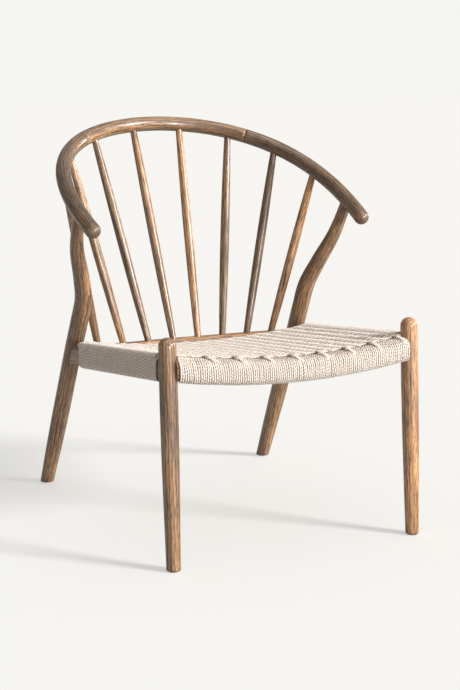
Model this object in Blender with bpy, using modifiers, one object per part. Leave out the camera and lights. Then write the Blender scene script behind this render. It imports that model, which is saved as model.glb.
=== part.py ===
"""Low spindle-back armchair with a woven paper-cord seat.

Metres, +Z up. The chair faces -Y, and the origin is on the floor under the middle of the chair.
Left is -X and right is +X. Every piece is a solid of its own, jointed into its neighbours with
tenons that keep a small gap in their mortises.
"""
import math

import bmesh
import bpy
from mathutils import Vector

GAP = 0.0003  # clearance between touching pieces
CORD = 0.0042  # thickness of the twisted paper cord

# Front legs: turned, domed on top, raked towards the sitter.
FRONT_LEG_HEIGHT = 0.430
FRONT_FOOT = (0.257, -0.340)
FRONT_LEG_TOP = (0.255, -0.313)
LEG_DOME_ANGLES = (0.0, 20.0, 40.0, 58.0, 74.0)
LEG_BELOW_FLOOR = 0.010  # cut away again where the glides go
FRONT_LEG_RADII = ((0.0, 0.0133), (0.10, 0.0150), (0.20, 0.0164), (0.30, 0.0170), (0.415, 0.0165))

# Rear legs: one length from the floor to the arm, bent outward above the seat.
REAR_FOOT_Y = 0.336
REAR_LEG_RAKE = 0.519  # forward run for each metre of height
REAR_LEG_TOP_Z = 0.630
REAR_LEG_KNOTS = ((0.268, 0.0), (0.264, 0.17), (0.261, 0.327), (0.259, 0.39),
                  (0.2588, 0.441), (0.272, 0.491), (0.292, 0.554), (0.301, REAR_LEG_TOP_Z))
REAR_LEG_RADII = ((0.0, 0.0143), (0.08, 0.0165), (0.16, 0.0179), (0.42, 0.0183), (0.47, 0.0170),
                  (0.53, 0.0150), (0.58, 0.0128), (REAR_LEG_TOP_Z, 0.0112))
ABOVE_ARM_SIZE = 0.080  # of the block that clears what stays of a leg above its arm
ABOVE_ARM_RISE = 0.045
REAR_LEG_TENON = (0.0075, 0.010, 0.016)  # radius, length below and above the arm's centre line

# Arm bow: a round rod on a flat horseshoe that tilts down towards the front, in three lengths.
BOW_RADIUS = 0.0156
BOW_CREST = (0.3385, 0.7824)  # y and z of its centre line at the back
BOW_TILT = math.radians(24.9)
BOW_HALF_WIDTH = 0.2972
BOW_DEPTH = 0.4353
BOW_CREST_HANDLE = 0.109
BOW_ARM_HANDLE = 0.375
BOW_TOE_IN = math.radians(5.6)
BOW_SPLICE = 0.2085  # along the rod from the middle of the back
BOW_LEG_PLACE = 0.533
BOW_DOWEL = (0.0065, 0.016)  # radius, and length into the arm
BOW_DOWEL_IN_CREST = 0.008
BOW_LEAD = 0.0004  # a short first and last step that keeps a length's end faces square
DOME_ANGLES = (22.5, 45.0, 62.0, 76.0, 86.0)

# Back spindles, numbered from -X: straight, fullest at the middle.
SPINDLE_PITCH = 0.0585
SPINDLE_PLACES = (0.0553, 0.1670, 0.2806, 0.3990)  # along the bow from the middle of the back
SPINDLE_END_RADIUS = 0.0071
SPINDLE_MID_RADIUS = 0.0098
SPINDLE_SIDES = 14
SPINDLE_DEPTH = 0.020  # of each spindle's lower end in the spindle rail
SPINDLE_SWELL = (0.06, 0.95)  # shares of the length between which a spindle is thicker
SPINDLE_CUT = (0.035, 0.024)  # lengths of the cutters for its lower and upper holes

# Spindle rail between the rear legs, bowed to the back.
SPINDLE_RAIL_Y = 0.1779
SPINDLE_RAIL_BOW = 0.1694  # forward run for each metre of x squared
SPINDLE_RAIL_TOP = 0.3300
SPINDLE_RAIL_SIZE = (0.027, 0.036)
SPINDLE_RAIL_END = 0.2480

# Seat frame. The cross rails dip towards the middle, and the front one also bows forward.
FRONT_RAIL_SIZE = (0.036, 0.0395)
FRONT_RAIL_Y = -0.3195
FRONT_RAIL_Z = 0.37125
FRONT_RAIL_BOW = 0.009
FRONT_RAIL_DIP = 0.0185
BACK_RAIL_SIZE = (0.024, 0.030)
BACK_RAIL_Y = 0.0850
BACK_RAIL_Z = 0.3285
BACK_RAIL_DIP = 0.0165
FRONT_RAIL_END = 0.2455  # half lengths between the shoulders
FRONT_RAIL_BACK_END = 0.2425  # of the half behind the front legs' line, beside the side rails
BACK_RAIL_END = 0.2475
DIP_SPAN = 0.240  # half width over which the dips and the bow are measured
SIDE_RAIL_SIZE = (0.024, 0.0390)
SIDE_RAIL_Z = 0.37125  # centre height at SIDE_RAIL_REF_Y
SIDE_RAIL_REF_Y = -0.3125
SIDE_RAIL_FALL = 0.117
TENON_THICKNESS = 0.012
TENON_HEIGHT = 0.015
TENON_OFFSET = 0.0095  # of a leg tenon above or below its rail's centre, so two can share a leg
FRONT_TENON = (0.226, 0.260, -0.3180, 0.00975)  # inner and outer x, y, rise above the rail's centre
SPINDLE_RAIL_TENON = (0.228, 0.264, 0.0085)  # inner and outer x, drop below the rail's centre
SPINDLE_RAIL_TENON_Y = (0.228, 0.252)  # x whose places on the bowed rail give the tenon's ends
BACK_TENON = (0.236, 0.260, 0.001)  # inner and outer x, drop below the rail's centre
SIDE_TENON_FRONT = (0.030, 0.006)  # along the rail behind and in front of the front leg's centre
SIDE_TENON_REAR = (0.034, 0.002)  # along the rail in front of and behind the rear leg's centre
REAR_JOINT_Z = 0.3146  # height at which the side rails meet the rear legs
SIDE_RAIL_SETBACK = (0.009, 0.010)  # of a side rail's ends from the centres of its two legs
FRONT_RAIL_CORNER = 0.014  # corner radii of the rails
SPINDLE_RAIL_CORNER = 0.008
RAIL_CORNER = 0.007

# Half lengths of the cross pieces before their ends are cut.
FRONT_RUN = 0.250
BACK_RUN = 0.255
SPINDLE_RUN = 0.260
BACK_WRAP_RUN = 0.250
HOLLOW_RUN = 0.260  # of the cutters inside the wraps
PASSAGE_RUN = 0.258  # of the cutter that lets the back rail through the side wraps
PASSAGE_TENON_END = 0.252
HOLLOW_LEAD = 0.020  # by which the cutter in a side wrap runs past it at each end

# Cord wraps on the rails and the woven seat between them.
FRONT_WRAP_END = 0.2440
FRONT_WRAP_BACK_END = 0.2378
BACK_WRAP_END = 0.2425
SIDE_WRAP_START = -0.2970
SIDE_WRAP_END = 0.0965
SEAT_FRONT_HALF_WIDTH = 0.2375  # where the corners are cut out for the front legs
SEAT_FRONT_Y = -0.3135
SEAT_BACK_Y = 0.0985
SEAT_FRONT_TOP = (0.3818, 0.4000)  # top of the weave at the middle and at DIP_SPAN
SEAT_BACK_TOP = (0.3367, 0.3532)
SEAT_FLAT_FROM = 0.252  # outside this x the weave lies level across the side rails
SEAT_RIM = CORD  # thickness on the wrapped rails
SEAT_FIELD = 0.0080  # thickness of two layers of cord in the open field
SEAT_COLUMNS = (0.268, 0.252, 0.2375, 0.230, 0.190, 0.140, 0.095, 0.048)  # x of the panel's mesh lines
SEAT_FIELD_HALF_WIDTH = 0.235
SEAT_FIELD_SHARES = (0.07, 0.91)  # from front to back

GLIDE_RADIUS = 0.0095
GLIDE_THICKNESS = 0.0022
GLIDE_PIN = (0.0016, 0.015)  # radius, and height of its tip above the floor
GLIDE_SIDES = 20

RING = 16  # sides of a round piece
CUT_BLOCK = 0.100  # side of the blocks that trim ends and corners
WOOD = (0.33, 0.19, 0.095, 1.0)
WOOD_DARK = (0.27, 0.15, 0.075, 1.0)
PAPER = (0.80, 0.74, 0.64, 1.0)
NYLON = (0.05, 0.045, 0.04, 1.0)
SIDES = (("left", -1.0), ("right", 1.0))


def start_scene():
    """Empty the scene and return the collections for the parts and for the cutters."""
    for item in list(bpy.data.objects):
        bpy.data.objects.remove(item, do_unlink=True)
    made = []
    for name in ("Spindle_back_armchair", "Cutters"):
        collection = bpy.data.collections.new(name)
        bpy.context.scene.collection.children.link(collection)
        made.append(collection)
    return made


PARTS, CUTTERS = start_scene()


def material(name, colour, roughness):
    found = bpy.data.materials.new(name)
    found.use_nodes = True
    shader = found.node_tree.nodes["Principled BSDF"]
    shader.inputs["Base Color"].default_value = colour
    shader.inputs["Roughness"].default_value = roughness
    shader.inputs["Metallic"].default_value = 0.0
    return found


def finish_part(piece, colour, roughness):
    """Give a piece its own material and put it among the parts."""
    piece.data.materials.clear()
    piece.data.materials.append(material(piece.name + "_finish", colour, roughness))
    move_to(piece, PARTS)
    piece.data.shade_smooth()
    piece.data.set_sharp_from_angle(angle=math.radians(40))
    return piece


def move_to(piece, collection):
    for owner in list(piece.users_collection):
        owner.objects.unlink(piece)
    collection.objects.link(piece)


def as_cutter(piece):
    move_to(piece, CUTTERS)
    piece.hide_render = True
    piece.display_type = "WIRE"
    return piece


def mesh_object(name, builder):
    mesh = bpy.data.meshes.new(name)
    builder.to_mesh(mesh)
    builder.free()
    piece = bpy.data.objects.new(name, mesh)
    bpy.context.scene.collection.objects.link(piece)
    return piece


def apply_modifiers(piece):
    """Replace a piece's mesh by what its modifiers make of it."""
    bpy.context.view_layer.update()
    graph = bpy.context.evaluated_depsgraph_get()
    baked = bpy.data.meshes.new_from_object(piece.evaluated_get(graph))
    piece.modifiers.clear()
    piece.data = baked
    return piece


def boolean(piece, other, operation):
    step = piece.modifiers.new(operation.lower() + "_" + other.name, "BOOLEAN")
    step.operation = operation
    step.solver = "EXACT"
    step.object = other
    apply_modifiers(piece)


def cut(piece, *cutters):
    for cutter in cutters:
        boolean(piece, cutter, "DIFFERENCE")


def join(piece, other):
    """Union another object into a piece and drop the other one."""
    boolean(piece, other, "UNION")
    bpy.data.objects.remove(other, do_unlink=True)


def turned(name, profile, start, end, steps=RING):
    """Turn a profile of (distance along the axis, radius) about the line from start to end."""
    builder = bmesh.new()
    points = [builder.verts.new((radius, 0.0, height)) for height, radius in reversed(profile)]
    for upper, lower in zip(points, points[1:]):
        builder.edges.new((upper, lower))
    piece = mesh_object(name, builder)
    screw = piece.modifiers.new("turn", "SCREW")
    screw.axis = "Z"
    screw.steps = steps
    screw.render_steps = steps
    screw.use_merge_vertices = True
    screw.merge_threshold = 0.00001
    apply_modifiers(piece)
    axis = Vector(end) - Vector(start)
    piece.rotation_euler = axis.to_track_quat("Z", "Y").to_euler()
    piece.location = start
    bpy.context.view_layer.update()
    return piece


def peg(name, start, end, radius, sides=16):
    """A plain round bar from start to end."""
    length = (Vector(end) - Vector(start)).length
    return turned(name, ((0.0, 0.0), (0.0, radius), (length, radius), (length, 0.0)), start, end, sides)


def block(name, centre, size, turn=None):
    builder = bmesh.new()
    bmesh.ops.create_cube(builder, size=1.0)
    bmesh.ops.scale(builder, vec=size, verts=builder.verts)
    piece = mesh_object(name, builder)
    piece.location = centre
    if turn is not None:
        piece.rotation_euler = turn
    bpy.context.view_layer.update()
    return piece


def rod(name, path, radii, section=None):
    """A bar along a path. Round with a radius at each point, or with a section curve."""
    curve = bpy.data.curves.new(name, "CURVE")
    curve.dimensions = "3D"
    curve.twist_mode = "Z_UP" if section else "MINIMUM"
    curve.use_fill_caps = True
    if section:
        curve.bevel_mode = "OBJECT"
        curve.bevel_object = section
    else:
        curve.bevel_depth = 1.0
        curve.bevel_resolution = RING // 2 - 2
    spline = curve.splines.new("POLY")
    spline.points.add(len(path) - 1)
    for point, place, radius in zip(spline.points, path, radii):
        point.co = (*place, 1.0)
        point.radius = radius
    guide = bpy.data.objects.new(name + "_path", curve)
    bpy.context.scene.collection.objects.link(guide)
    bpy.context.view_layer.update()
    graph = bpy.context.evaluated_depsgraph_get()
    mesh = bpy.data.meshes.new_from_object(guide.evaluated_get(graph))
    builder = bmesh.new()
    builder.from_mesh(mesh)
    bmesh.ops.remove_doubles(builder, verts=builder.verts, dist=0.00001)
    bmesh.ops.recalc_face_normals(builder, faces=builder.faces)
    piece = mesh_object(name, builder)
    piece.matrix_world = guide.matrix_world
    bpy.data.objects.remove(guide, do_unlink=True)
    return piece


def section_curve(width, height, corner, steps=3):
    """A rounded rectangle that a rail's path carries along, width across and height up."""
    curve = bpy.data.curves.new("section", "CURVE")
    curve.dimensions = "2D"
    spline = curve.splines.new("POLY")
    outline = []
    for turn, (sx, sy) in enumerate(((1, 1), (-1, 1), (-1, -1), (1, -1))):
        centre = Vector((sx * (width / 2 - corner), sy * (height / 2 - corner)))
        for step in range(steps + 1):
            angle = math.pi / 2 * (turn + step / steps)
            outline.append(centre + corner * Vector((math.cos(angle), math.sin(angle))))
    spline.points.add(len(outline) - 1)
    for point, place in zip(spline.points, outline):
        point.co = (place.x, place.y, 0.0, 1.0)
    spline.use_cyclic_u = True
    guide = bpy.data.objects.new("section", curve)
    bpy.context.scene.collection.objects.link(guide)
    return guide


def rail_bar(name, path, size, corner, grow=0.0):
    """A rail of the given section along a path, grown all round by grow."""
    section = section_curve(size[0] + 2 * grow, size[1] + 2 * grow, corner + grow)
    piece = rod(name, path, [1.0] * len(path), section)
    bpy.data.objects.remove(section, do_unlink=True)
    return piece


def between(low, high, count):
    return [low + (high - low) * index / (count - 1) for index in range(count)]


def table_value(table, place):
    """Read a value from (place, value) pairs with straight lines between them."""
    for (low, start), (high, end) in zip(table, table[1:]):
        if place <= high:
            return start + (end - start) * (place - low) / (high - low)
    return table[-1][1]


def dip(x, depth):
    """How far a dipped or bowed rail has moved at x, when it moves by depth at the middle."""
    return depth * (1.0 - (x / DIP_SPAN) ** 2)


# ---------------------------------------------------------------- arm bow

def bow_point(t):
    """The right half of the bow's centre line, t from 0 at the back to 1 at the arm's end."""
    tip = Vector((BOW_HALF_WIDTH, BOW_DEPTH))
    aim = Vector((math.sin(BOW_TOE_IN), -math.cos(BOW_TOE_IN)))
    controls = (Vector((0.0, 0.0)), Vector((BOW_CREST_HANDLE, 0.0)), tip + BOW_ARM_HANDLE * aim, tip)
    flat = Vector((0.0, 0.0))
    for index, control in enumerate(controls):
        flat += control * math.comb(3, index) * t ** index * (1.0 - t) ** (3 - index)
    back, height = BOW_CREST
    return Vector((flat.x, back - flat.y * math.cos(BOW_TILT), height - flat.y * math.sin(BOW_TILT)))


def bow_table(count=400):
    """Pairs of distance along the bow and t."""
    table = [(0.0, 0.0)]
    for index in range(1, count + 1):
        step = (bow_point(index / count) - bow_point((index - 1) / count)).length
        table.append((table[-1][0] + step, index / count))
    return table


BOW_TABLE = bow_table()
BOW_LENGTH = BOW_TABLE[-1][0]


def bow_at(distance):
    """The bow's centre line at a signed distance from the middle of the back, + towards +X."""
    point = bow_point(table_value(BOW_TABLE, abs(distance)))
    return Vector((math.copysign(1.0, distance) * point.x, point.y, point.z))


def bow_rod(name, start, end, count, grow=0.0):
    """A length of the bow. An end at the arm's tip is domed."""
    lead = math.copysign(BOW_LEAD, end - start)
    places = [start] + between(start + lead, end - lead, count) + [end]
    path = [bow_at(place) for place in places]
    radii = [BOW_RADIUS + grow] * len(path)
    if abs(end) >= BOW_LENGTH:
        aim = (path[-1] - path[-2]).normalized()
        for angle in DOME_ANGLES:
            path.append(bow_at(end) + aim * BOW_RADIUS * math.sin(math.radians(angle)))
            radii.append((BOW_RADIUS + grow) * math.cos(math.radians(angle)))
    return rod(name, path, radii)


def splice_dowel(name, side, grow):
    """The dowel on the crest length that enters an arm, or its hole."""
    radius, length = BOW_DOWEL
    centre = bow_at(side * BOW_SPLICE)
    aim = (bow_at(side * (BOW_SPLICE + length)) - bow_at(side * (BOW_SPLICE - length))).normalized()
    start = centre - aim * BOW_DOWEL_IN_CREST
    return peg(name, start, centre + aim * (length + 2 * grow), radius + grow)


def arm_rod(name, side, grow=0.0):
    return bow_rod(name, side * (BOW_SPLICE + GAP / 2), side * BOW_LENGTH, 17, grow)


def make_bow():
    crest = bow_rod("bow_crest", -BOW_SPLICE + GAP / 2, BOW_SPLICE - GAP / 2, 21)
    arms = {}
    for label, side in SIDES:
        join(crest, splice_dowel("dowel_" + label, side, 0.0))
        arm = arm_rod("bow_arm_" + label, side)
        cut(arm, as_cutter(splice_dowel("dowel_hole_" + label, side, GAP)))
        arms[side] = arm
    return crest, arms


# ---------------------------------------------------------------- back spindles

def spindle_ends(number):
    """The lower and upper ends of a spindle's axis. Spindles are numbered 1 to 8 from -X."""
    x = (number - 4.5) * SPINDLE_PITCH
    place = SPINDLE_PLACES[int(abs(number - 4.5))]
    upper = bow_at(math.copysign(place, x))
    shoulder = Vector((x, spindle_rail_y(x), SPINDLE_RAIL_TOP))
    aim = (upper - shoulder).normalized()
    return shoulder - aim * SPINDLE_DEPTH, upper


def make_spindle(number):
    lower, upper = spindle_ends(number)
    length = (upper - lower).length
    profile = [(0.0, 0.0), (0.0, SPINDLE_END_RADIUS)]
    low, high = SPINDLE_SWELL
    for share in between(low, high, 7):
        swell = max(0.0, math.sin(math.pi * (share - low) / (high - low))) ** 0.8
        radius = SPINDLE_END_RADIUS + (SPINDLE_MID_RADIUS - SPINDLE_END_RADIUS) * swell
        profile.append((share * length, radius))
    profile += [(length, SPINDLE_END_RADIUS), (length, 0.0)]
    return turned(f"back_spindle_{number}", profile, lower, upper, SPINDLE_SIDES)


def spindle_holes(number):
    """Cutters for the holes that a spindle's two ends sit in."""
    lower, upper = spindle_ends(number)
    aim = (upper - lower).normalized()
    low_run, high_run = SPINDLE_CUT
    radius = SPINDLE_END_RADIUS + GAP
    low = peg(f"rail_hole_{number}", lower - aim * GAP, lower + aim * low_run, radius, SPINDLE_SIDES)
    high = peg(f"bow_hole_{number}", upper - aim * high_run, upper + aim * GAP, radius, SPINDLE_SIDES)
    return as_cutter(low), as_cutter(high)


# ---------------------------------------------------------------- legs

def front_leg_axis(side):
    foot = Vector((side * FRONT_FOOT[0], FRONT_FOOT[1], 0.0))
    top = Vector((side * FRONT_LEG_TOP[0], FRONT_LEG_TOP[1], FRONT_LEG_HEIGHT))
    return foot, top


def front_leg(name, side, grow=0.0):
    """A turned front leg with a domed top, running a little below the floor until it is cut."""
    foot, top = front_leg_axis(side)
    length = (top - foot).length
    below = LEG_BELOW_FLOOR
    profile = [(-below, 0.0), (-below, FRONT_LEG_RADII[0][1] + grow)]
    profile += [(height, radius + grow) for height, radius in FRONT_LEG_RADII]
    dome = FRONT_LEG_RADII[-1][1] + grow
    base = length - FRONT_LEG_RADII[-1][1]
    for angle in LEG_DOME_ANGLES:
        turn = math.radians(angle)
        profile.append((base + dome * math.sin(turn), dome * math.cos(turn)))
    profile.append((base + dome, 0.0))
    aim = (top - foot).normalized()
    profile = [(height + below, radius) for height, radius in profile]
    return turned(name, profile, foot - aim * below, top)


def rear_leg_at(z):
    """The centre of the right rear leg at a height."""
    knots = REAR_LEG_KNOTS
    index = max(i for i, knot in enumerate(knots[:-1]) if knot[1] <= max(z, 0.0))
    (x0, z0), (x1, z1), (x2, z2) = knots[max(0, index - 1)], knots[index], knots[index + 1]
    x3, z3 = knots[min(len(knots) - 1, index + 2)]
    share = (z - z1) / (z2 - z1)
    slope_in = (x2 - x0) / (z2 - z0) * (z2 - z1)
    slope_out = (x3 - x1) / (z3 - z1) * (z2 - z1)
    x = ((2 * share ** 3 - 3 * share ** 2 + 1) * x1 + (share ** 3 - 2 * share ** 2 + share) * slope_in
         + (3 * share ** 2 - 2 * share ** 3) * x2 + (share ** 3 - share ** 2) * slope_out)
    return Vector((x, REAR_FOOT_Y - REAR_LEG_RAKE * z, z))


def rear_leg(name, side, grow=0.0):
    heights = [-LEG_BELOW_FLOOR, 0.0] + between(0.08, 0.40, 5) + between(0.42, REAR_LEG_TOP_Z, 11)
    path = [rear_leg_at(z) for z in heights]
    path = [Vector((side * point.x, point.y, point.z)) for point in path]
    radii = [table_value(REAR_LEG_RADII, z) + grow for z in heights]
    return rod(name, path, radii)


def leg_tenon(name, side, grow):
    """The round tenon on top of a rear leg that enters the arm, or its mortise."""
    radius, below, above = REAR_LEG_TENON
    top = rear_leg_at(REAR_LEG_TOP_Z)
    aim = (top - rear_leg_at(REAR_LEG_TOP_Z - 0.02)).normalized()
    aim.x *= side
    centre = bow_at(side * BOW_LEG_PLACE)
    start = centre - aim * (BOW_RADIUS + below)
    return peg(name, start, centre + aim * (above - BOW_RADIUS / 2 + grow), radius + grow)


# ---------------------------------------------------------------- rails

def spindle_rail_y(x):
    return SPINDLE_RAIL_Y - SPINDLE_RAIL_BOW * x * x


def spindle_rail_path(end, count=9):
    centre = SPINDLE_RAIL_TOP - SPINDLE_RAIL_SIZE[1] / 2
    return [Vector((x, spindle_rail_y(x), centre)) for x in between(-end, end, count)]


def front_rail_path(end, count=13):
    return [Vector((x, FRONT_RAIL_Y - dip(x, FRONT_RAIL_BOW), FRONT_RAIL_Z - dip(x, FRONT_RAIL_DIP)))
            for x in between(-end, end, count)]


def back_rail_path(end, count=11):
    return [Vector((x, BACK_RAIL_Y, BACK_RAIL_Z - dip(x, BACK_RAIL_DIP))) for x in between(-end, end, count)]


def side_rail_point(side, y):
    """The centre of a side rail, on the line between its front and rear legs."""
    z = SIDE_RAIL_Z - SIDE_RAIL_FALL * (y - SIDE_RAIL_REF_Y)
    front = FRONT_LEG_TOP[0]
    rear = rear_leg_at(REAR_JOINT_Z)
    x = front + (rear.x - front) * (y - FRONT_LEG_TOP[1]) / (rear.y - FRONT_LEG_TOP[1])
    return Vector((side * x, y, z))


def rail_tenon(name, start, end, grow):
    """A flat tenon along the line from start to end, on edge, or its mortise."""
    start, end = Vector(start), Vector(end)
    aim = end - start
    turn = aim.to_track_quat("Y", "Z").to_euler()
    size = (TENON_THICKNESS + 2 * grow, aim.length + 2 * grow, TENON_HEIGHT + 2 * grow)
    return block(name, (start + end) / 2, size, turn)


def tenon_into_leg(rail, leg, start, end):
    """Join a tenon to a rail and cut its mortise in a leg."""
    name = rail.name + "_" + leg.name
    join(rail, rail_tenon(name + "_tenon", start, end, 0.0))
    cut(leg, as_cutter(rail_tenon(name + "_mortise", start, end, GAP)))


def trim_ends(piece, half_length):
    """Cut both ends of a cross piece upright at the given distance from the middle."""
    for label, side in SIDES:
        centre = (side * (half_length + CUT_BLOCK / 2), 0.0, FRONT_RAIL_Z)
        cut(piece, as_cutter(block(piece.name + "_end_" + label, centre, (CUT_BLOCK, 1.0, CUT_BLOCK * 3))))


def trim_back_corners(piece, half_length):
    """Shorten the rear half of the front rail or its wrap, which would meet the side rails."""
    for label, side in SIDES:
        centre = (side * (half_length + CUT_BLOCK / 2), FRONT_RAIL_Y + CUT_BLOCK / 2, FRONT_RAIL_Z)
        size = (CUT_BLOCK, CUT_BLOCK, CUT_BLOCK * 3)
        cut(piece, as_cutter(block(piece.name + "_back_corner_" + label, centre, size)))


def make_front_rail(front_legs):
    rail = rail_bar("front_seat_rail", front_rail_path(FRONT_RUN), FRONT_RAIL_SIZE, FRONT_RAIL_CORNER)
    trim_ends(rail, FRONT_RAIL_END)
    trim_back_corners(rail, FRONT_RAIL_BACK_END)
    inner_x, outer_x, y, rise = FRONT_TENON
    for side, leg in front_legs.items():
        cut(rail, as_cutter(front_leg("front_shoulder_" + leg.name, side, GAP)))
        inner = Vector((side * inner_x, y, FRONT_RAIL_Z + rise))
        outer = Vector((side * outer_x, y, FRONT_RAIL_Z + rise))
        tenon_into_leg(rail, leg, inner, outer)
    return rail


def make_side_rail(label, side, front, rear):
    front_y, rear_y = FRONT_LEG_TOP[1], rear_leg_at(REAR_JOINT_Z).y
    start, end = front_y + SIDE_RAIL_SETBACK[0], rear_y - SIDE_RAIL_SETBACK[1]
    path = [side_rail_point(side, y) for y in between(start, end, 9)]
    rail = rail_bar("side_seat_rail_" + label, path, SIDE_RAIL_SIZE, RAIL_CORNER)
    cut(rail, as_cutter(front_leg("side_front_shoulder_" + label, side, GAP)))
    cut(rail, as_cutter(rear_leg("side_rear_shoulder_" + label, side, GAP)))
    lowered = Vector((0.0, 0.0, -TENON_OFFSET))
    raised = Vector((0.0, 0.0, TENON_OFFSET))
    inside, beyond = SIDE_TENON_FRONT
    tenon_into_leg(rail, front, side_rail_point(side, front_y + inside) + lowered,
                   side_rail_point(side, front_y - beyond) + lowered)
    inside, beyond = SIDE_TENON_REAR
    tenon_into_leg(rail, rear, side_rail_point(side, rear_y - inside) + raised,
                   side_rail_point(side, rear_y + beyond) + raised)
    return rail


def make_spindle_rail(rear_legs):
    rail = rail_bar("spindle_rail", spindle_rail_path(SPINDLE_RUN), SPINDLE_RAIL_SIZE, SPINDLE_RAIL_CORNER)
    trim_ends(rail, SPINDLE_RAIL_END)
    inner_x, outer_x, drop = SPINDLE_RAIL_TENON
    centre = SPINDLE_RAIL_TOP - SPINDLE_RAIL_SIZE[1] / 2 - drop
    for side, leg in rear_legs.items():
        cut(rail, as_cutter(rear_leg("rail_shoulder_" + leg.name, side, GAP)))
        inner = Vector((side * inner_x, spindle_rail_y(SPINDLE_RAIL_TENON_Y[0]), centre))
        outer = Vector((side * outer_x, spindle_rail_y(SPINDLE_RAIL_TENON_Y[1]), centre))
        tenon_into_leg(rail, leg, inner, outer)
    return rail


def make_back_rail(side_rails):
    """The dipped cross rail that carries the back edge of the weave."""
    rail = rail_bar("back_seat_rail", back_rail_path(BACK_RUN), BACK_RAIL_SIZE, RAIL_CORNER)
    trim_ends(rail, BACK_RAIL_END)
    inner_x, outer_x, drop = BACK_TENON
    for side, side_rail in side_rails.items():
        inner = Vector((side * inner_x, BACK_RAIL_Y, BACK_RAIL_Z - drop))
        outer = Vector((side * outer_x, BACK_RAIL_Y, BACK_RAIL_Z - drop))
        tenon_into_leg(rail, side_rail, inner, outer)
    return rail


# ---------------------------------------------------------------- cord and seat

def wrap(name, path, size, corner, inner_path):
    """A sleeve of cord, one cord thick, round a rail."""
    sleeve = rail_bar(name, path, size, corner, CORD + GAP)
    hollow = as_cutter(rail_bar(name + "_rail", inner_path, size, corner, GAP))
    cut(sleeve, hollow)
    return sleeve


def make_side_wrap(label, side):
    name = "side_rail_cord_wrap_" + label
    path = [side_rail_point(side, y) for y in between(SIDE_WRAP_START, SIDE_WRAP_END, 9)]
    longer = [side_rail_point(side, y)
              for y in between(SIDE_WRAP_START - HOLLOW_LEAD, SIDE_WRAP_END + HOLLOW_LEAD, 9)]
    sleeve = wrap(name, path, SIDE_RAIL_SIZE, RAIL_CORNER, longer)
    passage = rail_bar("back_rail_passage_" + label, back_rail_path(PASSAGE_RUN), BACK_RAIL_SIZE,
                       RAIL_CORNER, 2 * GAP)
    tenon_start = Vector((side * BACK_TENON[0], BACK_RAIL_Y, BACK_RAIL_Z))
    tenon_end = Vector((side * PASSAGE_TENON_END, BACK_RAIL_Y, BACK_RAIL_Z))
    tenon = rail_tenon("back_tenon_passage_" + label, tenon_start, tenon_end, 2 * GAP)
    cut(sleeve, as_cutter(passage), as_cutter(tenon))
    return sleeve


def seat_top(x, share):
    """Height of the weave at x, share 0 at the front edge and 1 at the back edge."""
    levels = []
    for middle, edge in (SEAT_FRONT_TOP, SEAT_BACK_TOP):
        flat = min(abs(x), SEAT_FLAT_FROM)
        levels.append(edge - (edge - middle) * (1.0 - (flat / DIP_SPAN) ** 2))
    return levels[0] + (levels[1] - levels[0]) * share


def make_seat():
    """The woven panel: thin where it lies on the wrapped rails, thicker in the open field."""
    xs = [-x for x in SEAT_COLUMNS] + [0.0] + list(reversed(SEAT_COLUMNS))
    shares = [0.0, 0.055, 0.08] + between(0.15, 0.85, 8) + [0.905, 0.93, 1.0]
    field_start, field_end = SEAT_FIELD_SHARES
    builder = bmesh.new()
    bmesh.ops.create_grid(builder, x_segments=len(xs) - 1, y_segments=len(shares) - 1, size=1.0)
    weights = {}
    for vert in builder.verts:
        column = round((vert.co.x + 1.0) / 2.0 * (len(xs) - 1))
        row = round((vert.co.y + 1.0) / 2.0 * (len(shares) - 1))
        x, share = xs[column], shares[row]
        front = SEAT_FRONT_Y - dip(min(abs(x), DIP_SPAN), FRONT_RAIL_BOW)
        vert.co = (x, front + (SEAT_BACK_Y - front) * share, seat_top(x, share))
        in_field = abs(x) < SEAT_FIELD_HALF_WIDTH and field_start < share < field_end
        weights[vert.index] = 1.0 if in_field else SEAT_RIM / SEAT_FIELD
    seat = mesh_object("seat_weave", builder)
    group = seat.vertex_groups.new(name="thickness")
    for index, weight in weights.items():
        group.add([index], weight, "REPLACE")
    shell = seat.modifiers.new("thickness", "SOLIDIFY")
    shell.thickness = SEAT_FIELD
    shell.offset = -1.0
    shell.vertex_group = "thickness"
    apply_modifiers(seat)
    for label, side in SIDES:
        centre = (side * (SEAT_FRONT_HALF_WIDTH + CUT_BLOCK / 2), SIDE_WRAP_START - CUT_BLOCK / 2,
                  SEAT_FRONT_TOP[0])
        cut(seat, as_cutter(block("leg_corner_" + label, centre, [CUT_BLOCK] * 3)))
    return seat


# ---------------------------------------------------------------- floor glides

def make_glide(name, x, y):
    """A round nylon glide with a pin that is driven up into the leg."""
    pin_radius, pin_length = GLIDE_PIN
    profile = ((0.0, 0.0), (0.0, GLIDE_RADIUS), (GLIDE_THICKNESS, GLIDE_RADIUS),
               (GLIDE_THICKNESS, pin_radius), (pin_length, pin_radius), (pin_length, 0.0))
    return turned(name, profile, (x, y, 0.0), (x, y, 1.0), GLIDE_SIDES)


def fit_glide(leg, name, x, y):
    """Cut a leg level above its glide, with a hole for the glide's pin."""
    pin_radius, pin_length = GLIDE_PIN
    floor = block("floor_" + name, (x, y, GLIDE_THICKNESS + GAP - CUT_BLOCK / 2), [CUT_BLOCK] * 3)
    hole = peg("pin_hole_" + name, (x, y, -LEG_BELOW_FLOOR), (x, y, pin_length + GAP), pin_radius + GAP)
    cut(leg, as_cutter(floor), as_cutter(hole))
    return make_glide(name, x, y)


# ---------------------------------------------------------------- assembly

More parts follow.
